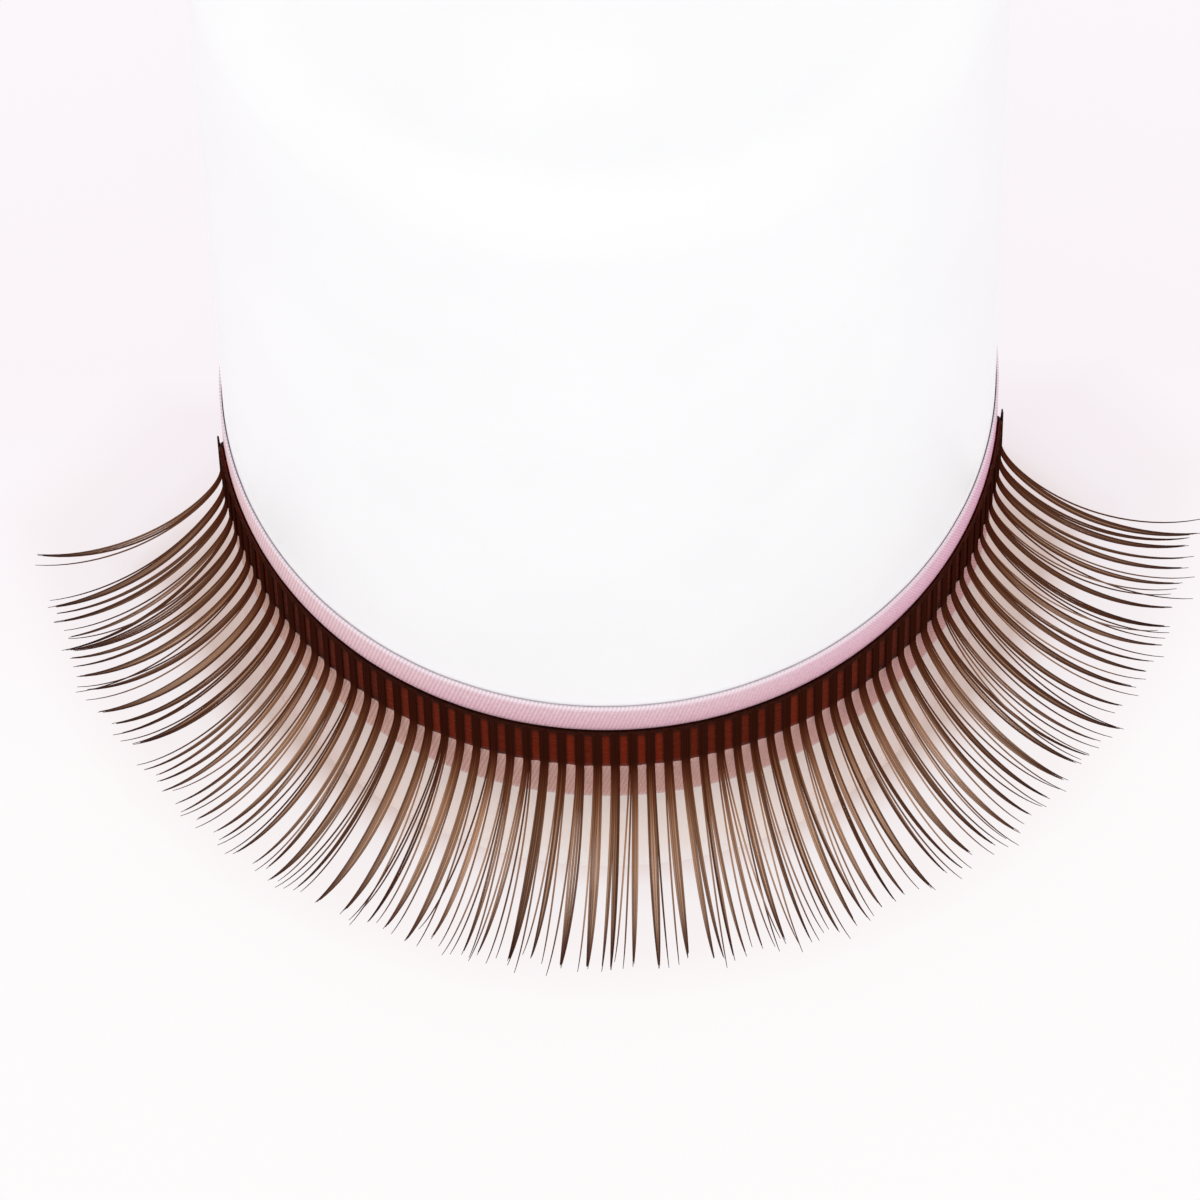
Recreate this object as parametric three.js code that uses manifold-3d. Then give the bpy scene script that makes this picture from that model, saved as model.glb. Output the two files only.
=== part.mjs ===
// A strip of premade lash fans, wrapped round the front of a plain round post.
// Millimetres, +Z up. The origin is the centre of the post's base, and the fans face -Y.
import * as THREE from 'three';
import { mergeVertices } from 'three/addons/utils/BufferGeometryUtils.js';
import Module from 'manifold-3d';

// The post's turned outline.
const POST_RADIUS = 15.66;
const BASE_CHAMFER = 0.5;
const SHOULDER_Z = 45.8;
const SHOULDER_ROUND = 2.8;
const NECK_RADIUS = 7.8;
const NECK_FILLET = 4.8;
const NECK_HEIGHT = 9.0;
const TOP_ROUND = 0.8;
const ROUND_STEPS = 5;
const POST_SIDES = 72;

// Layers on the post, from its wall outwards, with a small gap between them.
const LAYER_GAP = 0.03;
const TAPE_THICKNESS = 0.1;
const TAPE_BOTTOM = 6.55;
const TAPE_TOP = 13.6;
const GLUE_THICKNESS = 0.05;
const GLUE_BOTTOM = 9.2;
const GLUE_TOP = 11.9;
const ROOT_THICKNESS = 0.16;
const ROOT_LINE_HEIGHT = 0.3;
const ROOT_LINE_RISE = 0.05;
const ROOT_LINE_TOP = GLUE_TOP + ROOT_LINE_RISE;
const ARC_STEPS = 36;

// Angles round the post, in degrees from the front, which is -Y, towards +X.
const FRONT = -90;
const FIRST_FAN = -84;
const LAST_FAN = 85;
const FAN_COUNT = 66;
const GLUE_MARGIN = 0.65;
const TAPE_MARGIN = 9.5;

// A fan's curl: it leaves the glue band along the post's wall, bends away from it softly,
// turns outwards and ends a little upturned.
const FREE_LENGTH = 10.64;
const MIDDLE_SHORTER = 0.14;
const LEAVE_ANGLE = -58;
const ROOT_BEND = 26;
const ROOT_BEND_SHARE = 0.09;
const TIP_ANGLE = 26;
const CURL_POWER = 1.87;
const CURL_STEPS = 40;

// How far single fans differ: tip lean and free length in mm, tip angle in degrees.
// A tip's lean grows with a power of the share along it, and SCATTER spreads the values.
const LEAN_VARIES = 0.18;
const LENGTH_VARIES = 0.2;
const ANGLE_VARIES = 3;
const LEAN_POWER = 1.5;
const SCATTER = { fan: 12.9898, trait: 78.233, stretch: 43758.5453 };

// How the row runs on: a fan's root turned off its even place round the post, in degrees,
// and its tip leaning sideways, in mm. Fans between two rows take values between theirs.
const SWAY = [
  { fan: 0, turn: 0.0, lean: -0.1 },
  { fan: 1, turn: 0.05, lean: 1.4 },
  { fan: 4, turn: 0.25, lean: 0.45 },
  { fan: 5, turn: 0.35, lean: -0.4 },
  { fan: 8, turn: 0.5, lean: -0.85 },
  { fan: 12, turn: 0.7, lean: -0.45 },
  { fan: 20, turn: 1.1, lean: -0.5 },
  { fan: 28, turn: 0.45, lean: -0.5 },
  { fan: 41, turn: -0.15, lean: -0.2 },
  { fan: 48, turn: -0.1, lean: 0.05 },
  { fan: 62, turn: 0.0, lean: 0.05 },
  { fan: 65, turn: 0.0, lean: -0.6 },
];

// A lock's width and thickness at shares of its free length.
const LOCK_SECTIONS = [
  { along: 0.0, width: 0.36, thickness: 0.14 },
  { along: 0.06, width: 0.36, thickness: 0.14 },
  { along: 0.15, width: 0.37, thickness: 0.14 },
  { along: 0.28, width: 0.4, thickness: 0.14 },
  { along: 0.46, width: 0.44, thickness: 0.14 },
  { along: 0.64, width: 0.44, thickness: 0.13 },
  { along: 0.82, width: 0.36, thickness: 0.1 },
  { along: 1.0, width: 0.14, thickness: 0.06 },
];

const TAPE_INNER = POST_RADIUS + LAYER_GAP;
const GLUE_INNER = TAPE_INNER + TAPE_THICKNESS + LAYER_GAP;
const ROOT_INNER = GLUE_INNER + GLUE_THICKNESS + LAYER_GAP;
const ROOT_MIDDLE = ROOT_INNER + ROOT_THICKNESS / 2;
const FAN_PITCH = (LAST_FAN - FIRST_FAN) / (FAN_COUNT - 1);

const wasm = await Module();
wasm.setup();

function paint(hex, roughness) {
  return new THREE.MeshStandardMaterial({ color: hex, roughness, metalness: 0 });
}

function named(name, geometry, material) {
  const mesh = new THREE.Mesh(geometry, material);
  mesh.name = name;
  return mesh;
}

// Points of a quarter round in the lathe's plane, from angle `start` over `turn` degrees.
function roundPoints(centreX, centreZ, radius, start, turn) {
  const points = [];
  for (let step = 0; step <= ROUND_STEPS; step += 1) {
    const angle = THREE.MathUtils.degToRad(start + (turn * step) / ROUND_STEPS);
    points.push(new THREE.Vector2(centreX + radius * Math.cos(angle), centreZ + radius * Math.sin(angle)));
  }
  return points;
}

function postGeometry() {
  const ringZ = SHOULDER_Z + SHOULDER_ROUND;
  const topZ = ringZ + NECK_HEIGHT;
  const outline = [
    new THREE.Vector2(0, 0),
    new THREE.Vector2(POST_RADIUS - BASE_CHAMFER, 0),
    new THREE.Vector2(POST_RADIUS, BASE_CHAMFER),
    ...roundPoints(POST_RADIUS - SHOULDER_ROUND, SHOULDER_Z, SHOULDER_ROUND, 0, 90),
    ...roundPoints(NECK_RADIUS + NECK_FILLET, ringZ + NECK_FILLET, NECK_FILLET, 270, -90),
    ...roundPoints(NECK_RADIUS - TOP_ROUND, topZ - TOP_ROUND, TOP_ROUND, 0, 90),
    new THREE.Vector2(0, topZ),
  ];
  return new THREE.LatheGeometry(outline, POST_SIDES).rotateX(Math.PI / 2);
}

// A wall bent round the post's axis between two angles and two heights.
function curvedWall({ inner, thickness, bottom, top, margin }) {
  const from = THREE.MathUtils.degToRad(FRONT + FIRST_FAN - margin);
  const to = THREE.MathUtils.degToRad(FRONT + LAST_FAN + margin);
  const shape = new THREE.Shape();
  shape.absarc(0, 0, inner + thickness, from, to, false);
  shape.absarc(0, 0, inner, to, from, true);
  shape.closePath();
  const settings = { depth: top - bottom, bevelEnabled: false, curveSegments: ARC_STEPS };
  return new THREE.ExtrudeGeometry(shape, settings).translate(0, 0, bottom);
}

// A repeatable value from -1 to 1 for one trait of one fan.
function vary(fan, trait) {
  const wave = Math.sin(fan * SCATTER.fan + trait * SCATTER.trait) * SCATTER.stretch;
  return 2 * (wave - Math.floor(wave)) - 1;
}

function swayAt(fan) {
  const next = Math.max(1, SWAY.findIndex((row) => row.fan >= fan));
  const before = SWAY[next - 1];
  const after = SWAY[next];
  const share = (fan - before.fan) / (after.fan - before.fan);
  return {
    turn: THREE.MathUtils.lerp(before.turn, after.turn, share),
    lean: THREE.MathUtils.lerp(before.lean, after.lean, share),
  };
}

function fanTraits(fan) {
  const angle = FIRST_FAN + fan * FAN_PITCH;
  const sideShare = Math.min(1, Math.abs(angle) / LAST_FAN);
  const shorter = FREE_LENGTH * MIDDLE_SHORTER * (1 - sideShare * sideShare);
  const sway = swayAt(fan);
  return {
    angle: THREE.MathUtils.degToRad(angle + sway.turn),
    length: FREE_LENGTH - shorter + LENGTH_VARIES * vary(fan, 1),
    tipAngle: TIP_ANGLE + ANGLE_VARIES * vary(fan, 2),
    lean: sway.lean + LEAN_VARIES * vary(fan, 3),
  };
}

// How far out and down a fan's curl has come at a share of its free length, and its slope there.
function curlAt(along, traits) {
  const slopeAt = (share) => {
    const curled = LEAVE_ANGLE + (traits.tipAngle - LEAVE_ANGLE) * share ** CURL_POWER;
    return THREE.MathUtils.degToRad(curled - ROOT_BEND * Math.exp(-share / ROOT_BEND_SHARE));
  };
  const step = along / CURL_STEPS;
  let out = 0;
  let rise = 0;
  for (let index = 0; index < CURL_STEPS; index += 1) {
    const slope = slopeAt((index + 0.5) * step);
    out += Math.cos(slope) * step * traits.length;
    rise += Math.sin(slope) * step * traits.length;
  }
  return { out, rise, slope: slopeAt(along), side: traits.lean * along ** LEAN_POWER };
}

// Four corners of a lock's section, across the lock and square to its run.
function sectionCorners(place, width, thickness) {
  const out = (thickness / 2) * Math.sin(place.slope);
  const up = (thickness / 2) * Math.cos(place.slope);
  const left = place.side - width / 2;
  const right = place.side + width / 2;
  const radius = ROOT_MIDDLE + place.out;
  const height = GLUE_BOTTOM + place.rise;
  return [
    [left, -(radius + out), height - up],
    [right, -(radius + out), height - up],
    [right, -(radius - out), height + up],
    [left, -(radius - out), height + up],
  ];
}

// A closed solid through rings of corners, capped at both ends.
function loft(rings) {
  const corners = rings[0].length;
  const last = (rings.length - 1) * corners;
  const faces = [];
  for (let ring = 0; ring + 1 < rings.length; ring += 1) {
    for (let corner = 0; corner < corners; corner += 1) {
      const next = (corner + 1) % corners;
      const a = ring * corners + corner;
      const b = ring * corners + next;
      faces.push(a, b, b + corners, a, b + corners, a + corners);
    }
  }
  for (let corner = 1; corner + 1 < corners; corner += 1) {
    faces.push(0, corner + 1, corner);
    faces.push(last, last + corner, last + corner + 1);
  }
  const geometry = new THREE.BufferGeometry();
  geometry.setAttribute('position', new THREE.Float32BufferAttribute(rings.flat(2), 3));
  geometry.setIndex(faces);
  return geometry;
}

// One fan's lock: its root lies straight down the glue band and its free end curls out.
function lockGeometry(fan) {
  const traits = fanTraits(fan);
  const root = LOCK_SECTIONS[0];
  const rootTop = ROOT_LINE_TOP - ROOT_LINE_HEIGHT / 2;
  const straightDown = -Math.PI / 2;
  const rings = [rootTop, GLUE_BOTTOM + root.thickness].map((height) => {
    const place = { out: 0, rise: height - GLUE_BOTTOM, slope: straightDown, side: 0 };
    return sectionCorners(place, root.width, root.thickness);
  });
  for (const section of LOCK_SECTIONS) {
    rings.push(sectionCorners(curlAt(section.along, traits), section.width, section.thickness));
  }
  return loft(rings).rotateZ(traits.angle);
}

function toSolid(geometry) {
  const bare = geometry.clone();
  bare.deleteAttribute('normal');
  bare.deleteAttribute('uv');
  const merged = mergeVertices(bare);
  return new wasm.Manifold(new wasm.Mesh({
    numProp: 3,
    vertProperties: merged.attributes.position.array,
    triVerts: new Uint32Array(merged.index.array),
  }));
}

function toGeometry(solid) {
  const mesh = solid.getMesh();
  const geometry = new THREE.BufferGeometry();
  geometry.setAttribute('position', new THREE.BufferAttribute(mesh.vertProperties, 3));
  geometry.setIndex(new THREE.BufferAttribute(mesh.triVerts, 1));
  geometry.computeVertexNormals();
  return geometry;
}

// All fans in one body: a thin root line along the glue band's upper edge carries every lock.
function fringeGeometry() {
  const rootLine = curvedWall({
    inner: ROOT_INNER,
    thickness: ROOT_THICKNESS,
    bottom: ROOT_LINE_TOP - ROOT_LINE_HEIGHT,
    top: ROOT_LINE_TOP,
    margin: GLUE_MARGIN,
  });
  let solid = toSolid(rootLine);
  for (let fan = 0; fan < FAN_COUNT; fan += 1) {
    solid = solid.add(toSolid(lockGeometry(fan)));
  }
  return toGeometry(solid);
}

function tapeGeometry() {
  return curvedWall({
    inner: TAPE_INNER,
    thickness: TAPE_THICKNESS,
    bottom: TAPE_BOTTOM,
    top: TAPE_TOP,
    margin: TAPE_MARGIN,
  });
}

function glueGeometry() {
  return curvedWall({
    inner: GLUE_INNER,
    thickness: GLUE_THICKNESS,
    bottom: GLUE_BOTTOM,
    top: GLUE_TOP,
    margin: GLUE_MARGIN,
  });
}

const part = new THREE.Group();
part.add(
  named('display_stand', postGeometry(), paint(0xf6f3f4, 0.35)),
  named('backing_tape', tapeGeometry(), paint(0xddbec8, 0.8)),
  named('glue_band', glueGeometry(), paint(0x5c180c, 0.25)),
  named('lash_fans', fringeGeometry(), paint(0x5a3826, 0.45)),
);

export default part;
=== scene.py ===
"""Looks of a premade lash strip on its round stand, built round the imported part.

Lengths are in millimetres up to add_mesh(), which turns them into metres. Angles are in degrees
round the stand, from its front at -Y towards +X.
"""

import math

import bpy
import numpy as np
from mathutils import Matrix, Vector


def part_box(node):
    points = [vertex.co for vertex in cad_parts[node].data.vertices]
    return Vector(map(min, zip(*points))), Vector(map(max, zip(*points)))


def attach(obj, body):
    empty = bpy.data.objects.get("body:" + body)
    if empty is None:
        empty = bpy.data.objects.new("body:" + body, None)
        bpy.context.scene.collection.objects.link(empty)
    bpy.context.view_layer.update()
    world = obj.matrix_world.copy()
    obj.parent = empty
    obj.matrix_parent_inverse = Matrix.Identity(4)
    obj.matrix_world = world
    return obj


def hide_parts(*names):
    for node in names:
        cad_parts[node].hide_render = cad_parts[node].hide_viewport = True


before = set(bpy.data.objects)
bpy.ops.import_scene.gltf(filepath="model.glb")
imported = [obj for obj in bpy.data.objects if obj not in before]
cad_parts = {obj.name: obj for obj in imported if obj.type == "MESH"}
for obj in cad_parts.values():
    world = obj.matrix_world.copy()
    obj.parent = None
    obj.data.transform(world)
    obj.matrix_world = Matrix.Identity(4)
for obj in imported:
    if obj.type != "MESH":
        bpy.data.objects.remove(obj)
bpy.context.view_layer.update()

MM = 0.001
BODY = "root"
UV_MAP = "OFBake"
SHARP_ANGLE = 30
SEED = 11

# Heights that the imported part gives.
STAND_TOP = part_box("display_stand")[1].z / MM
TAPE_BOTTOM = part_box("backing_tape")[0].z / MM
TAPE_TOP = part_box("backing_tape")[1].z / MM
GLUE_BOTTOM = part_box("glue_band")[0].z / MM
GLUE_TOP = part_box("glue_band")[1].z / MM

# The stand's turned outline, and the shade of the fringe on its wall.
POST_RADIUS = 15.66
BASE_CHAMFER = 0.5
SHOULDER_Z = 45.8
SHOULDER_ROUND = 2.8
NECK_RADIUS = 7.8
NECK_FILLET = 4.8
TOP_ROUND = 0.8
ROUND_STEPS = 16
STAND_SIDES = 256
SHADE_RINGS = 6
SHADE_HEIGHTS = (6.6, 9.4)
SHADE_ANGLES = (84, 98)
SHADE_SIDE_ANGLES = (8, 68)
SHADE_LIGHT_FOOT = 3
FRONT_SHADE = 0.5
FRONT_FOOT_SHADE = 0.2

# Layers on the stand's wall, as radii.
TAPE_INNER = 15.7
TAPE_OUTER = 15.79
GLUE_INNER = 15.77
GLUE_OUTER = 15.9
ROOT_MIDDLE = 15.98

# The row of fans.
FIRST_FAN = -84
LAST_FAN = 85
FAN_COUNT = 66
FAN_PITCH = (LAST_FAN - FIRST_FAN) / (FAN_COUNT - 1)
END_FANS = (0, FAN_COUNT - 1)
GLUE_MARGIN = 0.65
TAPE_MARGIN = 9.5

# A fan's curl, and how far single fans differ.
FREE_LENGTH = 10.64
MIDDLE_SHORTER = 0.14
LEAVE_ANGLE = -58
ROOT_BEND = 26
ROOT_BEND_SHARE = 0.09
TIP_ANGLE = 26
CURL_POWER = 1.87
LEAN_VARIES = 0.18
LENGTH_VARIES = 0.2
ANGLE_VARIES = 3
LEAN_POWER = 1.5
SPREAD_POWERS = (1.0, 1.9)
LENGTH_TRAIT = 1
ANGLE_TRAIT = 2
LEAN_TRAIT = 3
SCATTER_FAN = 12.9898
SCATTER_TRAIT = 78.233
SCATTER_STRETCH = 43758.5453

# How the row runs on: fan, root turned off its even place in degrees, tip's sideways lean.
SWAY_FANS, SWAY_ROOTS, SWAY_LEANS = np.array([
    (0, 0.0, -0.1),
    (1, 0.05, 1.4),
    (4, 0.25, 0.45),
    (5, 0.35, -0.4),
    (8, 0.5, -0.85),
    (12, 0.7, -0.45),
    (20, 1.1, -0.5),
    (28, 0.45, -0.5),
    (41, -0.15, -0.2),
    (48, -0.1, 0.05),
    (62, 0.0, 0.05),
    (65, 0.0, -0.6),
]).T

# Hairs in each strand of a fan, fan by fan from the left end: 131 is one loose hair, three hairs
# that cling together and another loose one.
STRANDS = (
    "31 14 23 122 14 32 41 131 5 32 14 122 23 122 131 32 113 212 41 1121 5 41 "
    "1121 41 41 131 1121 1211 41 131 14 14 23 113 41 14 32 122 1211 131 1211 131 32 113 "
    "23 14 212 14 131 113 131 131 14 32 1112 14 113 131 32 131 113 311 131 32 32 41"
).split()

# One hair: its size, its place in the fan and how hairs differ.
HAIR_RADIUS = 0.046
LOOSE_RADIUS = 0.038
HAIR_TIP_RADIUS = 0.012
HAIR_PITCH = 0.068
HAIR_SIDES = 6
HAIR_TAPER_FROM = 0.6
HAIR_TAPER_POWER = 2.2
ROOT_STEPS = 4
CURL_STEPS = 30
STEP_POWER = 1.3
ROOT_SHARE = 0.2
ROOT_TOP_VARIES = 0.06
STAGGER = 0.02
STRAND_GAP = 0.26
STRAND_GAP_PER_HAIR = 0.04
STRAND_GAP_VARIES = 0.12
END_FANS_SPREAD = 1.5
END_FANS_LONGER = 0.45
ROOT_TIGHTER = 0.13
OPEN_BY = 0.03
STRAND_FULLER = 0.6
STRAND_PINCH = 0.15
PINCH_FROM = 0.5
PINCH_POWER = 1.6
LOOSE_ANGLE_VARIES = 2.5
CLING_ANGLE_SHARE = 0.4
LOOSE_LENGTH_VARIES = 0.045
CLING_LENGTH_VARIES = 0.015
HAIR_ENDS_VARY = 0.055
RIGHT_LONGER = 0.2
STRAND_TONES = (0.5, 1.03)
HAIR_TONE_VARIES = 0.42
EDGE_DARKER = 0.4
LOOSE_TONES = (0.15, 0.62)
LEFT_DARKER = 0.6
RIGHT_DARKER = 0.68

# The tape: its ribs as pitch and slant, its pale edges and painted sheen, its painted shade towards the glue,
# and the warm painted shade under the fringe.
LEFT_RIBS = (0.165, 15)
RIGHT_RIBS = (0.13, -30)
# How deep each set shows along the tape is partly painted sheen of its threads.
LEFT_RIBS_FADE = (-25, 35)
LEFT_RIBS_DEPTHS = (0.45, 0.15)
RIGHT_RIBS_FADE = (20, 65)
RIGHT_RIBS_DEPTH = 0.4
TAPE_COLUMNS = 400
EDGE_ROUND = 0.02
FACE_ROWS = 17
# Painted sheen below the tape's upper edge, weaker on the right.
SHEEN_HEIGHT = 0.4
SHEEN_RIGHT = 0.55
# Painted shade on the tape's face: darker towards the glue, less on the left.
GLUE_SHADE_HEIGHTS = (0.2, 1.2)
GLUE_SHADE_ANGLES = (-65, -20)
GLUE_SHADE_LEFT = 0.4
LOW_RIM_HEIGHT = 0.24
LOW_RIM = 0.5
# Painted shade: below the glue, under the fringe, the tape is darker and warmer, standing in for the fringe's
# shade and the brown light from its hairs. It fades towards the tape's ends.
FRINGE_SHADE_FROM = GLUE_BOTTOM + 0.2
FRINGE_SHADE_TO = GLUE_BOTTOM - 0.1
FRINGE_SHADE_ENDS = (3, 9)
RIM_WAVE = 0.012
RIM_WAVE_WIDTH = 15

# The glue film round the roots, and the dark ridge of root ends on its upper edge.
GLUE_COLUMNS_PER_FAN = 12
GLUE_ROWS = 14
FILM_BOTTOM = GLUE_BOTTOM - 0.15
GLUE_RISE = 0.05
GLUE_EDGE_WAVE = 0.03
GLUE_EDGE_WAVE_WIDTH = 9
GLUE_EDGE_ROUND = 0.12
GLUE_EDGE_THICKNESS = 0.4
ROOT_HALF_WIDTH = 0.12
CLEAR_FROM = 0.27
DARK_TOP_EDGE = 0.55
GAP_TONES = (0.7, 1.0)
DARKER_GAPS = (20, 55)
SIDE_GAPS_DARKER = 0.4
DARK_LOW_EDGE = 0.3
LOW_EDGE_WIDTH = 40
LOW_EDGE_ASIDE = 1.5
LOW_EDGE_FADE = 0.6
LOW_EDGE_CLEAR = 0.2
RIDGE_COLUMNS_PER_FAN = 6
RIDGE_MIDDLE = (15.93, 11.84)
RIDGE_HALF = (0.07, 0.1)
RIDGE_WAVE = 0.012
RIDGE_WAVE_WIDTH = 7
RIDGE_SIDES = 12
RIDGE_END = 0.3
RIDGE_RED_SIDE = (0.2, -0.7)
RIDGE_RED_ANGLES = (25, 75)
END_DROP = 0.6
END_DROP_OVER = 3

# The camera: the point of the stand's axis plane that it looks at, and how it stands to it.
PICTURE_SIZE = 1200
FOCAL_PIXELS = 9803
SENSOR = 36
AIM = (-0.589, 0.0, -4.6)
CAMERA_DISTANCE = 412.6
CAMERA_ELEVATION = 59.39
CAMERA_ROLL = 1.49
NEAREST_SEEN = 10

# The floor, its shade under the fringe, and the light.
FLOOR_SIZE = 4000
FLOOR_DROP = 0.01
FLOOR_SHADE_BACK = 4.4
FLOOR_SHADE_RADII = (18.6, 26.6)
FLOOR_SHADE_SLANTS = (1.0, -0.035)
FLOOR_SHADE_ENDS = (16.85, 30.5)
FLOOR_SHADE_BEHIND = (3.5, 9)
FLOOR_GLOW = 0.925
FLOOR_DEPTHS = (-10, 45)
WORLD_STRENGTH = 1.0
LIGHT_PLACE = (-40, -330, 400)
LIGHT_AIM = (0, 0, 10)
LIGHT_SIZE = 300
LIGHT_POWER = 0.16

# How a tube is laid on its map: the gap beside it, in sides, and half the size of its two ends.
MAP_GAP = 0.5
MAP_END_HALF = (0.4, 0.01)

# Sockets of a colour mix node.
MIX_INPUTS = (0, 6, 7)
MIX_RESULT = 2


def colour(red, green, blue):
    """A screen colour of 0 to 255 as linear RGBA."""
    share = np.array([red, green, blue]) / 255
    linear = np.where(share <= 0.04045, share / 12.92, ((share + 0.055) / 1.055) ** 2.4)
    return (*linear.tolist(), 1.0)


def smooth_step(low, high, value):
    """A smooth change from 0 at low to 1 at high, where high may be the smaller number."""
    share = np.clip((value - low) / (high - low), 0, 1)
    return share * share * (3 - 2 * share)


def uneven(rng, steps, width):
    """A smooth random run of values shaped (steps, 1), mostly between -1 and 1."""
    window = np.hanning(width + 2)[1:-1]
    values = np.convolve(rng.normal(size=steps + width - 1), window, "valid")
    return np.clip(values / np.sqrt((window**2).sum()) / 2, -1, 1)[:, None]


def from_ends(angles):
    """How far each angle lies from the nearer end of its run, shaped (steps, 1)."""
    return np.minimum(angles - angles[0], angles[-1] - angles)[:, None]


# Meshes from grids of points

def corners(grid):
    """The four corners of each cell of a grid of values, shaped (..., rows, columns)."""
    cells = [grid[..., :-1, :-1], grid[..., :-1, 1:], grid[..., 1:, 1:], grid[..., 1:, :-1]]
    return np.stack(cells, -1).reshape(-1, 4)


def tube_faces(shape):
    """Faces and map corners of tubes whose points are shaped (tubes, rings, sides)."""
    tubes, rings, sides = shape
    index = np.arange(tubes * rings * sides).reshape(shape)
    looped = np.concatenate([index, index[:, :, :1]], axis=2)
    tube = np.arange(tubes)[:, None, None]
    ring = np.arange(rings)[None, :, None]
    side = np.arange(sides + 1)[None, None, :]
    u = np.broadcast_to((tube + side / (sides + MAP_GAP)) / tubes, looped.shape)
    v = np.broadcast_to(ring / (rings - 1), looped.shape)
    maps = np.stack([corners(u), corners(v)], -1).reshape(-1, 2)
    faces = corners(looped).tolist() + index[:, 0, ::-1].tolist() + index[:, -1, :].tolist()
    return faces, np.concatenate([maps, end_maps(tubes, sides, 0), end_maps(tubes, sides, 1)])


def end_maps(tubes, sides, end):
    """Map corners of the faces that close all tubes at their first end, 0, or their last, 1."""
    turn = np.linspace(0, 2 * np.pi, sides, endpoint=False)
    half_width, half_height = MAP_END_HALF
    u = 0.5 + half_width * np.cos(turn)
    v = half_height * np.sin(turn) + half_height
    circles = [np.stack([(number + u) / tubes, abs(end - v)], -1) for number in range(tubes)]
    return np.concatenate(circles)


def add_mesh(name, points, material, slot, replaced=(), **values):
    """A piece from tubes of points, shaped (tubes, rings, sides, 3), with a value for each point."""
    faces, maps = tube_faces(points.shape[:3])
    mesh = bpy.data.meshes.new(name)
    mesh.from_pydata((points.reshape(-1, 3) * MM).tolist(), [], faces)
    layer = mesh.uv_layers.new(name=UV_MAP)
    layer.uv.foreach_set("vector", maps.astype(np.float32).ravel())
    for key, grid in values.items():
        spread = np.broadcast_to(grid, points.shape[:3]).astype(np.float32)
        attribute = mesh.attributes.new(key, "FLOAT", "POINT")
        attribute.data.foreach_set("value", spread.ravel())
    mesh.shade_smooth()
    mesh.set_sharp_from_angle(angle=math.radians(SHARP_ANGLE))
    mesh.materials.append(material)
    piece = bpy.data.objects.new(name, mesh)
    bpy.context.scene.collection.objects.link(piece)
    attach(piece, BODY)
    if replaced:
        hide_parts(*replaced)


def bent_wall(angles, radii, heights):
    """Points round the stand's axis from sections of radii and heights, one section for each angle."""
    radii, heights = np.broadcast_arrays(radii, heights)
    turn = np.radians(angles)[:, None]
    return np.stack([radii * np.sin(turn), -radii * np.cos(turn), heights + 0 * turn], -1)[None]


def round_tubes(paths, across, radii, sides):
    """Rings of round tubes along paths (tubes, steps, 3), each with its own sideways direction."""
    along = np.gradient(paths, axis=1)
    along /= np.linalg.norm(along, axis=2, keepdims=True)
    sideways = across[:, None, :] - (across[:, None, :] * along).sum(2, keepdims=True) * along
    sideways /= np.linalg.norm(sideways, axis=2, keepdims=True)
    third = np.cross(along, sideways)
    turn = np.linspace(0, 2 * np.pi, sides, endpoint=False)[:, None]
    ring = np.cos(turn) * sideways[:, :, None, :] + np.sin(turn) * third[:, :, None, :]
    return paths[:, :, None, :] + radii[:, :, None, None] * ring


# Materials

def new_material(name, **settings):
    """A material with its main shader, whose plain settings are given by name."""
    made = bpy.data.materials.new(name)
    made.use_nodes = True
    shader = made.node_tree.nodes["Principled BSDF"]
    for key, value in settings.items():
        shader.inputs[key.replace("_", " ")].default_value = value
    return made, made.node_tree, shader


def put(tree, socket, value):
    """Sets a socket to a value, or links another node's output to it."""
    if isinstance(value, bpy.types.NodeSocket):
        tree.links.new(value, socket)
    else:
        socket.default_value = value


def add_node(tree, kind, inputs=(), **settings):
    """A node whose inputs are set to values or linked to other nodes' outputs."""
    made = tree.nodes.new(kind)
    for key, value in settings.items():
        setattr(made, key, value)
    for key, value in dict(inputs).items():
        put(tree, made.inputs[key], value)
    return made


def value_of(tree, name):
    """A value that the mesh gives for each point."""
    return add_node(tree, "ShaderNodeAttribute", attribute_name=name).outputs["Fac"]


def ramp(tree, share, stops):
    """A colour from stops of (place, colour) along a share from 0 to 1."""
    made = add_node(tree, "ShaderNodeValToRGB", {"Fac": share})
    elements = made.color_ramp.elements
    while len(elements) < len(stops):
        elements.new(0.5)
    for element, (place, tone) in zip(elements, stops):
        element.position = place
        element.color = tone
    return made.outputs["Color"]


def mixed(tree, share, first, second, blend="MIX"):
    """The first colour, changed by the second as far as a share of 0 to 1 says."""
    made = add_node(tree, "ShaderNodeMix", data_type="RGBA", blend_type=blend)
    for number, value in zip(MIX_INPUTS, (share, first, second)):
        put(tree, made.inputs[number], value)
    return made.outputs[MIX_RESULT]


def noise(tree, per_mm, detail=2.0):
    """Uneven values from 0 to 1, with about that many patches for each millimetre."""
    place = add_node(tree, "ShaderNodeTexCoord").outputs["Object"]
    inputs = {"Vector": place, "Scale": per_mm / MM, "Detail": detail}
    return add_node(tree, "ShaderNodeTexNoise", inputs).outputs["Fac"]


def bump(tree, height, strength, distance):
    """A fine relief from heights of 0 to 1, with its depth in millimetres."""
    inputs = {"Height": height, "Strength": strength, "Distance": distance * MM}
    return add_node(tree, "ShaderNodeBump", inputs).outputs["Normal"]


def ranged(tree, value, low, high, source=(0.0, 1.0)):
    """A value of the source range, carried over to the range from low to high."""
    inputs = {"Value": value, "From Min": source[0], "From Max": source[1], "To Min": low, "To Max": high}
    return add_node(tree, "ShaderNodeMapRange", inputs).outputs["Result"]


def maths(tree, operation, *values):
    """One step of arithmetic on values or other nodes' outputs."""
    return add_node(tree, "ShaderNodeMath", enumerate(values), operation=operation).outputs[0]


def in_metres(lengths):
    return [length * MM for length in lengths]


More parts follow.
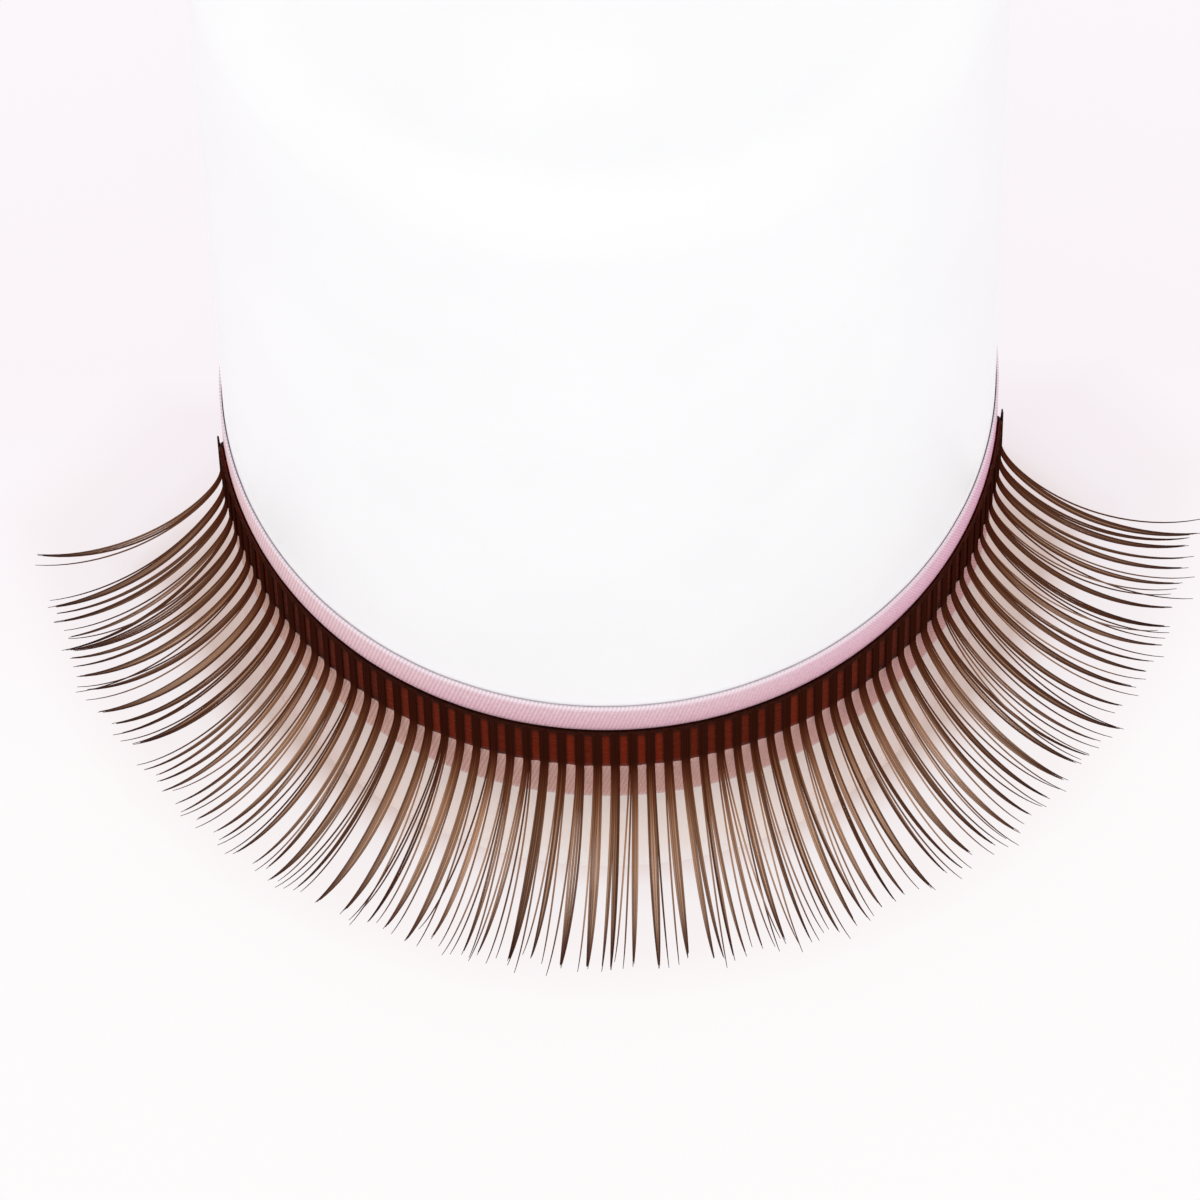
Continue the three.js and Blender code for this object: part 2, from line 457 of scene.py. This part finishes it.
def fibre_material():
    """Brown synthetic hair: dark in the glue and at the tip, dark or light along its middle, where the
    lightness is partly painted light through the fibre and painted satin sheen.
    """
    made, tree, shader = new_material("brown_fibre", Roughness=0.45, Specular_Tint=colour(220, 160, 120))
    along = value_of(tree, "along")
    put(tree, shader.inputs["Specular IOR Level"], ranged(tree, along, low=0.0, high=0.06, source=(0.3, 0.6)))
    dark = ramp(tree, along, [
        (0.0, colour(49, 20, 12)),
        (0.17, colour(49, 19, 11)),
        (0.2, colour(62, 26, 15)),
        (0.27, colour(73, 34, 20)),
        (0.36, colour(82, 45, 28)),
        (0.48, colour(88, 53, 35)),
        (0.64, colour(89, 56, 39)),
        (0.8, colour(85, 54, 41)),
        (0.9, colour(66, 41, 33)),
        (1.0, colour(54, 33, 28)),
    ])
    # Painted light: the light hairs are much lighter along their middle, standing in for light through the
    # fibre and its satin sheen.
    light = ramp(tree, along, [
        (0.0, colour(54, 22, 13)),
        (0.17, colour(54, 21, 12)),
        (0.2, colour(70, 30, 17)),
        (0.27, colour(100, 54, 36)),
        (0.36, colour(136, 91, 64)),
        (0.48, colour(180, 137, 109)),
        (0.64, colour(197, 159, 133)),
        (0.8, colour(175, 142, 119)),
        (0.9, colour(122, 89, 72)),
        (1.0, colour(84, 58, 51)),
    ])
    put(tree, shader.inputs["Base Color"], mixed(tree, value_of(tree, "tone"), dark, light))
    return made


def tape_material():
    """Pink ribbed tape with a pale cut edge and a painted sheen below it, painted shade towards the glue, and
    warm painted shade under the fringe.
    """
    made, tree, shader = new_material("pink_tape", Roughness=0.6, Specular_IOR_Level=0.15)
    ribs = []
    for side in ("left", "right"):
        wave = maths(tree, "SINE", value_of(tree, f"{side}_phase"))
        ribs.append(maths(tree, "MULTIPLY", wave, value_of(tree, f"{side}_ribs")))
    rib = ranged(tree, maths(tree, "ADD", *ribs), low=0.0, high=1.0, source=(-1.0, 1.0))
    thread = ramp(tree, rib, [
        (0.0, colour(212, 171, 182)),
        (0.5, colour(236, 206, 213)),
        (1.0, colour(255, 236, 240)),
    ])
    side_tint = ramp(tree, value_of(tree, "rightward"), [
        (0.1, colour(255, 255, 250)),
        (0.4, colour(246, 242, 245)),
        (0.6, colour(246, 242, 246)),
        (0.9, colour(250, 229, 247)),
    ])
    patches = noise(tree, per_mm=9, detail=3.0)
    patchy = ramp(tree, patches, [(0.3, colour(238, 229, 232)), (0.7, colour(255, 255, 255))])
    woven = mixed(tree, 1.0, mixed(tree, 1.0, thread, side_tint, "MULTIPLY"), patchy, "MULTIPLY")
    # Painted shade: the face is darker towards the glue.
    glue_shaded = mixed(tree, 1.0, woven, colour(249, 239, 242), "MULTIPLY")
    with_glue_shade = mixed(tree, value_of(tree, "tint"), woven, glue_shaded)
    # Painted shade: darker and warmer under the fringe.
    shaded_under_fringe = mixed(tree, 1.0, woven, colour(255, 238, 212), "MULTIPLY")
    # Painted sheen: a highlight painted along the face below the upper edge.
    pale = ramp(tree, rib, [(0.35, colour(236, 218, 227)), (0.65, colour(250, 236, 243))])
    edge = ramp(tree, rib, [(0.35, colour(214, 197, 205)), (0.65, colour(235, 222, 229))])
    tone = mixed(tree, value_of(tree, "fringe_shade"), with_glue_shade, shaded_under_fringe)
    tone = mixed(tree, value_of(tree, "sheen"), tone, pale)
    put(tree, shader.inputs["Base Color"], mixed(tree, value_of(tree, "rim"), tone, edge))
    put(tree, shader.inputs["Normal"], bump(tree, rib, strength=0.5, distance=0.02))
    return made


def glue_material():
    """Red-brown glue, deep red where it is clear of the roots."""
    made, tree, shader = new_material("dark_glue", Specular_IOR_Level=0.01)
    tone = ramp(tree, value_of(tree, "clear"), [
        (0.0, colour(42, 16, 10)),
        (0.45, colour(72, 22, 9)),
        (1.0, colour(113, 34, 12)),
    ])
    patches = noise(tree, per_mm=3)
    patchy = ramp(tree, patches, [(0.3, colour(236, 230, 230)), (0.7, colour(255, 255, 255))])
    put(tree, shader.inputs["Base Color"], mixed(tree, 1.0, tone, patchy, "MULTIPLY"))
    put(tree, shader.inputs["Roughness"], ranged(tree, noise(tree, per_mm=4), low=0.18, high=0.36))
    put(tree, shader.inputs["Normal"], bump(tree, noise(tree, per_mm=5), strength=0.12, distance=0.02))
    return made


def ridge_material():
    """Glued root ends: nearly black outside, red-brown towards the tape."""
    made, tree, shader = new_material("root_ends", Roughness=0.45, Specular_IOR_Level=0.01)
    patches = noise(tree, per_mm=8)
    outside = ramp(tree, patches, [(0.3, colour(38, 14, 9)), (0.7, colour(56, 24, 16))])
    tone = mixed(tree, value_of(tree, "inside"), outside, colour(112, 44, 32))
    put(tree, shader.inputs["Base Color"], tone)
    put(tree, shader.inputs["Normal"], bump(tree, noise(tree, per_mm=12), strength=0.4, distance=0.02))
    return made


def stand_material():
    """Satin white moulded plastic with a warm shade behind the fringe."""
    made, tree, shader = new_material("white_plastic", Specular_IOR_Level=0.4)
    cloudy = noise(tree, per_mm=0.12, detail=4.0)
    tone = ramp(tree, cloudy, [(0.3, colour(246, 247, 248)), (0.7, colour(249, 250, 251))])
    shade = ramp(tree, value_of(tree, "shade"), [
        (0.0, colour(255, 255, 255)),
        (0.5, colour(249, 235, 226)),
        (1.0, colour(229, 206, 199)),
    ])
    put(tree, shader.inputs["Base Color"], mixed(tree, 1.0, tone, shade, "MULTIPLY"))
    put(tree, shader.inputs["Roughness"], ranged(tree, noise(tree, per_mm=0.8), low=0.3, high=0.4))
    put(tree, shader.inputs["Normal"], bump(tree, noise(tree, per_mm=3), strength=0.03, distance=0.02))
    return made


def floor_shade(tree, place, axes):
    """The warm shade under the fringe. It fades outwards, past the row's two ends and behind the stand."""
    middle = (0, FLOOR_SHADE_BACK * MM, 0)
    distance = add_node(tree, "ShaderNodeVectorMath", {0: place, 1: middle}, operation="DISTANCE")
    away = ranged(tree, distance.outputs["Value"], low=0.0, high=1.0, source=in_metres(FLOOR_SHADE_RADII))
    line = axes["Y"]
    for across, slant in zip((maths(tree, "ABSOLUTE", axes["X"]), axes["X"]), FLOOR_SHADE_SLANTS):
        line = maths(tree, "MULTIPLY_ADD", across, slant, line)
    past = ranged(tree, line, low=0.0, high=1.0, source=in_metres(FLOOR_SHADE_ENDS))
    behind = ranged(tree, axes["Y"], low=0.0, high=1.0, source=in_metres(FLOOR_SHADE_BEHIND))
    uncovered = maths(tree, "MAXIMUM", maths(tree, "MAXIMUM", away, past), behind)
    return ramp(tree, uncovered, [
        (0.03, colour(206, 186, 177)),
        (0.16, colour(233, 221, 218)),
        (0.27, colour(244, 239, 239)),
        (0.39, colour(248, 244, 245)),
        (0.63, colour(251, 247, 247)),
        (0.94, colour(255, 254, 254)),
    ])


def floor_material():
    """A pale table that glows, so that shadows on it stay light, with a warm shade under the fringe."""
    made, tree, shader = new_material("pale_floor", Roughness=0.8, Specular_IOR_Level=0.1)
    place = add_node(tree, "ShaderNodeTexCoord").outputs["Object"]
    axes = add_node(tree, "ShaderNodeSeparateXYZ", {0: place}).outputs
    # Painted light: the table's glow is brightest in front, where the lamp falls.
    backward = ranged(tree, axes["Y"], low=0.0, high=1.0, source=in_metres(FLOOR_DEPTHS))
    table = ramp(tree, backward, [
        (0.0, colour(253, 251, 252)),
        (0.35, colour(248, 243, 248)),
        (1.0, colour(251, 248, 250)),
    ])
    glow = mixed(tree, 1.0, table, floor_shade(tree, place, axes), "MULTIPLY")
    patches = noise(tree, per_mm=0.02)
    tone = ramp(tree, patches, [(0.3, colour(79, 78, 78)), (0.7, colour(83, 82, 82))])
    put(tree, shader.inputs["Base Color"], tone)
    put(tree, shader.inputs["Emission Color"], glow)
    put(tree, shader.inputs["Emission Strength"], FLOOR_GLOW)
    return made


# The stand

def arc(centre_x, centre_z, radius, start, turn):
    """Points of a round stretch of the outline, from angle start over turn degrees."""
    angle = np.radians(start + turn * np.linspace(0, 1, ROUND_STEPS + 1))
    return np.stack([centre_x + radius * np.cos(angle), centre_z + radius * np.sin(angle)], 1)


def stand_outline():
    """Radii and heights of the stand's rings from its base to its top, shaped (rings, 1)."""
    ring = SHOULDER_Z + SHOULDER_ROUND
    wall = np.linspace(BASE_CHAMFER, SHADE_HEIGHTS[1], SHADE_RINGS)
    outline = np.concatenate([
        [(POST_RADIUS - BASE_CHAMFER, 0)],
        [(POST_RADIUS, height) for height in wall],
        arc(POST_RADIUS - SHOULDER_ROUND, SHOULDER_Z, SHOULDER_ROUND, 0, 90),
        arc(NECK_RADIUS + NECK_FILLET, ring + NECK_FILLET, NECK_FILLET, 270, -90),
        arc(NECK_RADIUS - TOP_ROUND, STAND_TOP - TOP_ROUND, TOP_ROUND, 0, 90),
    ])
    return outline[:, :1], outline[:, 1:]


def stand_shade(angles, height):
    """The shade behind the fringe, from 0 to 1: lighter in front, above all at the foot."""
    front = FRONT_FOOT_SHADE + (FRONT_SHADE - FRONT_FOOT_SHADE) * smooth_step(0, SHADE_LIGHT_FOOT, height)
    aside = smooth_step(*SHADE_SIDE_ANGLES, np.abs(angles))
    shade = smooth_step(SHADE_HEIGHTS[1], SHADE_HEIGHTS[0], height) * (front + (1 - front) * aside)
    return shade * smooth_step(SHADE_ANGLES[1], SHADE_ANGLES[0], np.abs(angles))


def add_stand():
    angles = np.linspace(-180, 180, STAND_SIDES, endpoint=False)
    turn = np.radians(angles)
    radius, height = stand_outline()
    points = np.stack([radius * np.sin(turn), -radius * np.cos(turn), height + 0 * turn], -1)[None]
    shade = stand_shade(angles, height)
    add_mesh("stand_body", points, stand_material(), "white_plastic", ["display_stand"], shade=shade)


# The tape

def tape_section():
    """Radii and heights round the tape's section: down its outer face, then up its inner one."""
    top, bottom = TAPE_TOP - EDGE_ROUND, TAPE_BOTTOM + EDGE_ROUND
    outer, inner = TAPE_OUTER - EDGE_ROUND, TAPE_INNER + EDGE_ROUND
    face = [*np.linspace(top, GLUE_TOP, FACE_ROWS), FRINGE_SHADE_FROM, FRINGE_SHADE_TO, bottom + LOW_RIM_HEIGHT, bottom]
    heights = face + [TAPE_BOTTOM, TAPE_BOTTOM, bottom, top, TAPE_TOP, TAPE_TOP]
    radii = [TAPE_OUTER] * len(face) + [outer, inner, TAPE_INNER, TAPE_INNER, inner, outer]
    return np.array(radii), np.array(heights)


def near_top(heights):
    """How near heights are to the tape's upper edge, from 0 to 1."""
    return smooth_step(TAPE_TOP - SHEEN_HEIGHT, TAPE_TOP, heights)


def tape_ribs(angles, heights):
    """Phases and depths of the two sets of slanted ribs, whose depths along the tape are partly painted sheen
    of each set of threads.
    """
    run = np.radians(angles)[:, None] * TAPE_OUTER
    left_phase, right_phase = [
        2 * np.pi * (run - heights * math.tan(math.radians(slant))) / pitch
        for pitch, slant in (LEFT_RIBS, RIGHT_RIBS)
    ]
    deep, flat = LEFT_RIBS_DEPTHS
    left_ribs = flat + (deep - flat) * smooth_step(*LEFT_RIBS_FADE[::-1], angles)[:, None]
    right_ribs = RIGHT_RIBS_DEPTH * smooth_step(*RIGHT_RIBS_FADE, angles)[:, None]
    return {
        "left_phase": left_phase,
        "right_phase": right_phase,
        "left_ribs": left_ribs,
        "right_ribs": right_ribs,
    }


def tape_tones(angles, heights):
    """Where the tape has its pale edges, its painted sheen and its painted shade towards the glue and under
    the fringe, as shares from 0 to 1.
    """
    top, bottom = TAPE_TOP - EDGE_ROUND, TAPE_BOTTOM + EDGE_ROUND
    low_rim = LOW_RIM * smooth_step(bottom + LOW_RIM_HEIGHT, bottom, heights)
    # Painted shade under the fringe, fading towards the tape's ends.
    fringe_shade = smooth_step(FRINGE_SHADE_FROM, FRINGE_SHADE_TO, heights) * smooth_step(*FRINGE_SHADE_ENDS, from_ends(angles))
    # Painted shade: darker towards the glue, less on the left.
    tint = smooth_step(GLUE_TOP + GLUE_SHADE_HEIGHTS[1], GLUE_TOP + GLUE_SHADE_HEIGHTS[0], heights)
    tint = tint * (GLUE_SHADE_LEFT + (1 - GLUE_SHADE_LEFT) * smooth_step(*GLUE_SHADE_ANGLES, angles))[:, None]
    at_right = smooth_step(*RIGHT_RIBS_FADE, angles)[:, None]
    return {
        "rim": smooth_step(top, TAPE_TOP, heights) + low_rim,
        "fringe_shade": fringe_shade,
        "tint": tint * (heights > FRINGE_SHADE_FROM),
        "sheen": near_top(heights) * (1 - (1 - SHEEN_RIGHT) * at_right),
        "rightward": np.linspace(0, 1, TAPE_COLUMNS)[:, None],
    }


def add_tape(rng):
    """A thin woven strip with slanted ribs and a pale upper edge that waves a little, with a painted sheen
    below it.
    """
    angles = np.linspace(FIRST_FAN - TAPE_MARGIN, LAST_FAN + TAPE_MARGIN, TAPE_COLUMNS)
    radii, heights = tape_section()
    waved = heights + RIM_WAVE * uneven(rng, TAPE_COLUMNS, RIM_WAVE_WIDTH) * near_top(heights)
    points = bent_wall(angles, radii, waved)
    values = {**tape_ribs(angles, heights), **tape_tones(angles, heights)}
    add_mesh("backing_tape_woven", points, tape_material(), "pink_tape", ["backing_tape"], **values)


# The fans

def vary(fan, trait):
    """A repeatable value from -1 to 1 for one trait of one fan, as the part's source has it."""
    wave = math.sin(fan * SCATTER_FAN + trait * SCATTER_TRAIT) * SCATTER_STRETCH
    return 2 * (wave - math.floor(wave)) - 1


def fan_angle(fan):
    """Where a fan is rooted round the stand."""
    return FIRST_FAN + fan * FAN_PITCH + np.interp(fan, SWAY_FANS, SWAY_ROOTS)


def fan_traits(fan):
    """A fan's angle round the stand, free length, tip angle and sideways lean."""
    turn = fan_angle(fan)
    side_share = min(1, abs(FIRST_FAN + fan * FAN_PITCH) / LAST_FAN)
    shorter = FREE_LENGTH * MIDDLE_SHORTER * (1 - side_share**2)
    length = FREE_LENGTH - shorter + LENGTH_VARIES * vary(fan, LENGTH_TRAIT)
    length = length + RIGHT_LONGER * turn / LAST_FAN + (END_FANS_LONGER if fan in END_FANS else 0)
    return {
        "angle": turn,
        "length": length,
        "tip_angle": TIP_ANGLE + ANGLE_VARIES * vary(fan, ANGLE_TRAIT),
        "lean": np.interp(fan, SWAY_FANS, SWAY_LEANS) + LEAN_VARIES * vary(fan, LEAN_TRAIT),
    }


def strand_spread(counts, roots, rng):
    """How far each strand of a fan swings sideways: the thickest keeps its place, others spread."""
    gaps = [
        STRAND_GAP + STRAND_GAP_PER_HAIR * (one + other) + STRAND_GAP_VARIES * rng.uniform(-1, 1)
        for one, other in zip(counts, counts[1:])
    ]
    places = np.concatenate([[0], np.cumsum(gaps)])
    main = int(np.argmax(counts))
    return places - places[main] + roots[main] - roots


def hair_values(within, half_width, strand_tone, rng):
    """What sets one hair apart from the others of its strand. A loose hair is its whole strand."""
    edge = abs(within) / half_width if half_width else 0
    tone = strand_tone - EDGE_DARKER * edge + HAIR_TONE_VARIES * rng.uniform(-1, 1)
    return {
        "within": within,
        "tone": np.clip(tone, 0, 1),
        "end": 1 - HAIR_ENDS_VARY * rng.uniform(0, 1) if half_width else 1,
        "stagger": STAGGER * rng.uniform(-1, 1),
        "top": GLUE_TOP - ROOT_TOP_VARIES * rng.uniform(0, 1),
    }


def strand_hairs(places, root, shared, rng):
    """Rows of values for the hairs of one strand, which share their fan's values."""
    loose = len(places) == 1
    turn = shared["angle"]
    darker = (RIGHT_DARKER if turn > 0 else LEFT_DARKER) * (turn / LAST_FAN) ** 2
    tilt = LOOSE_ANGLE_VARIES * rng.uniform(-1, 1) * (1 if loose else CLING_ANGLE_SHARE)
    tone = rng.uniform(*(LOOSE_TONES if loose else STRAND_TONES)) - darker
    fuller = STRAND_FULLER * rng.uniform(0, 1) ** 2
    length_varies = LOOSE_LENGTH_VARIES if loose else CLING_LENGTH_VARIES
    strand = {
        **shared,
        "root": root,
        "tip_angle": shared["tip_angle"] + tilt,
        "fuller": fuller,
        "length": shared["length"] * (1 + length_varies * rng.uniform(-1, 1)),
        "radius": LOOSE_RADIUS if loose else HAIR_RADIUS,
    }
    half_width = np.ptp(places) / 2
    return [{**strand, **hair_values(place - root, half_width, tone, rng)} for place in places]


def fan_hairs(fan, rng):
    """Rows of values for the hairs of one fan."""
    counts = [int(digit) for digit in STRANDS[fan]]
    places = (np.arange(sum(counts)) - (sum(counts) - 1) / 2) * HAIR_PITCH
    strands = np.split(places, np.cumsum(counts)[:-1])
    roots = np.array([strand.mean() for strand in strands])
    spreads = strand_spread(counts, roots, rng) * (END_FANS_SPREAD if fan in END_FANS else 1)
    shared = {**fan_traits(fan), "spread_power": rng.uniform(*SPREAD_POWERS)}
    rows = []
    for strand, root, spread in zip(strands, roots, spreads):
        rows += strand_hairs(strand, root, {**shared, "spread": spread}, rng)
    return rows


def hair_table(rng):
    """All hairs' values as columns shaped (hairs, 1)."""
    rows = [row for fan in range(FAN_COUNT) for row in fan_hairs(fan, rng)]
    return {key: np.array([row[key] for row in rows])[:, None] for key in rows[0]}


def clinging(share, fuller):
    """How far apart the hairs of a strand lie along it, as a share of how they lie at the root."""
    opened = 1 + ROOT_TIGHTER * smooth_step(0, OPEN_BY, share) + fuller * smooth_step(0, PINCH_FROM, share)
    pinched = np.clip((share - PINCH_FROM) / (1 - PINCH_FROM), 0, 1) ** PINCH_POWER
    return opened * (1 - (1 - STRAND_PINCH) * pinched)


def curl(hairs, share):
    """How far out and how far up the hairs run at shares of their free length."""
    between = (share[:, 1:] + share[:, :-1]) / 2
    step = np.diff(share, axis=1) * hairs["length"]
    curled = LEAVE_ANGLE + (hairs["tip_angle"] - LEAVE_ANGLE) * between**CURL_POWER
    slope = np.radians(curled - ROOT_BEND * np.exp(-between / ROOT_BEND_SHARE))
    start = np.zeros_like(hairs["length"])
    out = np.concatenate([start, np.cumsum(np.cos(slope) * step, axis=1)], axis=1)
    rise = np.concatenate([start, np.cumsum(np.sin(slope) * step, axis=1)], axis=1)
    return out, rise


def hair_paths(hairs, share):
    """Middle lines of all hairs: down the glue band, then out along the curl at shares of its length."""
    share = share * hairs["end"]
    out, rise = curl(hairs, share)
    side = hairs["root"] + hairs["within"] * clinging(share, hairs["fuller"])
    side = side + hairs["lean"] * share**LEAN_POWER + hairs["spread"] * share ** hairs["spread_power"]
    down = np.linspace(0, 1, ROOT_STEPS, endpoint=False)
    root_height = hairs["top"] + (GLUE_BOTTOM - hairs["top"]) * down
    still = np.zeros_like(root_height)
    radius = ROOT_MIDDLE + hairs["stagger"] + np.concatenate([still, out], axis=1)
    height = np.concatenate([root_height, GLUE_BOTTOM + rise], axis=1)
    side = np.concatenate([still + hairs["root"] + hairs["within"], side], axis=1)
    turn = np.radians(hairs["angle"])
    x = side * np.cos(turn) + radius * np.sin(turn)
    y = side * np.sin(turn) - radius * np.cos(turn)
    return np.stack([x, y, height], -1)


def add_fibres(rng):
    hairs = hair_table(rng)
    share = np.linspace(0, 1, CURL_STEPS + 1) ** STEP_POWER
    paths = hair_paths(hairs, share)
    free = np.concatenate([np.zeros(ROOT_STEPS), share])
    thinning = np.clip((free - HAIR_TAPER_FROM) / (1 - HAIR_TAPER_FROM), 0, 1) ** HAIR_TAPER_POWER
    radii = hairs["radius"] + (HAIR_TIP_RADIUS - hairs["radius"]) * thinning
    turn = np.radians(hairs["angle"][:, 0])
    across = np.stack([np.cos(turn), np.sin(turn), np.zeros_like(turn)], -1)
    points = round_tubes(paths, across, radii, HAIR_SIDES)
    rooted = np.minimum(np.arange(len(free)) / ROOT_STEPS, 1)
    along = ROOT_SHARE * rooted + (1 - ROOT_SHARE) * free
    values = {"along": along[None, :, None], "tone": hairs["tone"][:, :, None]}
    add_mesh("lash_fibres", points, fibre_material(), "brown_fibre", ["lash_fans"], **values)


# The glue and the dark ridge of root ends

def row_angles(columns_per_fan):
    """Angles along the whole glue band, with so many columns for each fan."""
    return np.linspace(FIRST_FAN - GLUE_MARGIN, LAST_FAN + GLUE_MARGIN, FAN_COUNT * columns_per_fan)


def end_drop(angles):
    """How much lower the glue's upper edge lies towards the strip's two ends."""
    return END_DROP * smooth_step(END_DROP_OVER, 0, from_ends(angles))


def film_face(angles, face, between, rng):
    """Radii and heights of the film's outer face, which is thicker against the roots."""
    low_edge = smooth_step(FILM_BOTTOM + LOW_EDGE_FADE, FILM_BOTTOM, face)
    upper_share = (face - FILM_BOTTOM) / (GLUE_TOP - FILM_BOTTOM)
    wave = GLUE_EDGE_WAVE * uneven(rng, len(angles), GLUE_EDGE_WAVE_WIDTH)
    heights = face + wave * low_edge - end_drop(angles) * upper_share
    from_edge = np.minimum(GLUE_TOP - face, face - FILM_BOTTOM)
    domed = GLUE_EDGE_THICKNESS + (1 - GLUE_EDGE_THICKNESS) * smooth_step(0, GLUE_EDGE_ROUND, from_edge)
    radii = GLUE_INNER + (GLUE_OUTER + GLUE_RISE * (1 - between) - GLUE_INNER) * domed
    return radii, heights


def film_clear(angles, face, gaps, rng):
    """How clear and red the film is in its gaps: less at the sides and along both edges, the lower edge being
    painted shade of the hairs that leave the band.
    """
    aside = smooth_step(*DARKER_GAPS, np.abs(angles))[:, None]
    # Painted shade: darker towards the lower edge, higher at the sides, where the hairs leave the band.
    low = DARK_LOW_EDGE * (uneven(rng, len(angles), LOW_EDGE_WIDTH) - 1 + LOW_EDGE_ASIDE * aside)
    above_low = smooth_step(low, low + LOW_EDGE_FADE, face - FILM_BOTTOM)
    clear = gaps * (1 - SIDE_GAPS_DARKER * aside)
    clear = clear * (LOW_EDGE_CLEAR + (1 - LOW_EDGE_CLEAR) * above_low)
    return clear * smooth_step(0, DARK_TOP_EDGE, GLUE_TOP - face)


def add_glue(rng):
    """A film that stands higher against the roots than between them, where it is clear and red."""
    angles = row_angles(GLUE_COLUMNS_PER_FAN)
    fans = np.array([fan_angle(fan) for fan in range(FAN_COUNT)])
    apart = np.radians(np.abs(angles[:, None] - fans).min(axis=1))[:, None] * ROOT_MIDDLE
    between = smooth_step(ROOT_HALF_WIDTH, CLEAR_FROM, apart)
    gap_tone = rng.uniform(*GAP_TONES, FAN_COUNT + 1)[np.searchsorted(fans, angles)][:, None]
    face = np.linspace(GLUE_TOP, FILM_BOTTOM, GLUE_ROWS)
    radii, heights = film_face(angles, face, between, rng)
    clear = film_clear(angles, face, between * gap_tone, rng)
    inner = np.full((len(angles), 1), GLUE_INNER)
    radii = np.concatenate([radii, inner, inner], axis=1)
    heights = np.concatenate([heights, heights[:, -1:], heights[:, :1]], axis=1)
    clear = np.concatenate([clear, clear[:, -1:], clear[:, :1]], axis=1)
    points = bent_wall(angles, radii, heights)
    add_mesh("glue_film", points, glue_material(), "dark_glue", ["glue_band"], clear=clear)


def add_ridge(rng):
    """The uneven dark ridge of glued root ends along the band's upper edge."""
    angles = row_angles(RIDGE_COLUMNS_PER_FAN)
    turn = np.linspace(0, -2 * np.pi, RIDGE_SIDES, endpoint=False)
    wave = RIDGE_WAVE * uneven(rng, len(angles), RIDGE_WAVE_WIDTH)
    drop = end_drop(angles)
    size = 1 - (1 - RIDGE_END) * drop / END_DROP
    radii = RIDGE_MIDDLE[0] + (RIDGE_HALF[0] + wave) * size * np.cos(turn)
    heights = RIDGE_MIDDLE[1] + (RIDGE_HALF[1] + wave) * size * np.sin(turn) - drop
    red_angles = smooth_step(*RIDGE_RED_ANGLES, np.abs(angles))[:, None]
    inside = smooth_step(*RIDGE_RED_SIDE, np.cos(turn)) * red_angles
    points = bent_wall(angles, radii, heights)
    add_mesh("root_ends", points, ridge_material(), "brown_fibre", inside=inside)


# Stage

def add_floor():
    half = FLOOR_SIZE / 2 * MM
    mesh = bpy.data.meshes.new("floor")
    ground = -FLOOR_DROP * MM
    signs = [(-1, -1), (1, -1), (1, 1), (-1, 1)]
    mesh.from_pydata([(x * half, y * half, ground) for x, y in signs], [], [(0, 1, 2, 3)])
    mesh.materials.append(floor_material())
    floor = bpy.data.objects.new("floor", mesh)
    bpy.context.scene.collection.objects.link(floor)


def add_light():
    """A soft square light in front of the stand, turned towards it."""
    lamp = bpy.data.lights.new("front", "AREA")
    lamp.size = LIGHT_SIZE * MM
    lamp.energy = LIGHT_POWER
    light = bpy.data.objects.new("front", lamp)
    light.location = Vector(LIGHT_PLACE) * MM
    light.rotation_mode = "QUATERNION"
    light.rotation_quaternion = (Vector(LIGHT_AIM) - Vector(LIGHT_PLACE)).to_track_quat("-Z", "Y")
    bpy.context.scene.collection.objects.link(light)


def add_world():
    world = bpy.data.worlds.new("studio")
    world.use_nodes = True
    background = world.node_tree.nodes["Background"]
    background.inputs["Color"].default_value = colour(255, 254, 254)
    background.inputs["Strength"].default_value = WORLD_STRENGTH
    bpy.context.scene.world = world


def add_camera():
    elevation = math.radians(CAMERA_ELEVATION)
    forward = Vector((0, math.cos(elevation), -math.sin(elevation)))
    right = Matrix.Rotation(math.radians(CAMERA_ROLL), 3, forward) @ Vector((1, 0, 0))
    up = right.cross(forward)
    lens = bpy.data.cameras.new("camera")
    lens.sensor_width = SENSOR
    lens.lens = FOCAL_PIXELS / PICTURE_SIZE * SENSOR
    lens.clip_start = NEAREST_SEEN * MM
    camera = bpy.data.objects.new("camera", lens)
    turned = Matrix((right, up, -forward)).transposed().to_4x4()
    place = (Vector(AIM) - CAMERA_DISTANCE * forward) * MM
    camera.matrix_world = Matrix.Translation(place) @ turned
    bpy.context.scene.collection.objects.link(camera)
    bpy.context.scene.camera = camera


rng = np.random.default_rng(SEED)
add_camera()
add_stand()
add_tape(rng)
add_glue(rng)
add_ridge(rng)
add_fibres(rng)
add_floor()
add_world()
add_light()
bpy.context.scene.view_settings.view_transform = "Standard"
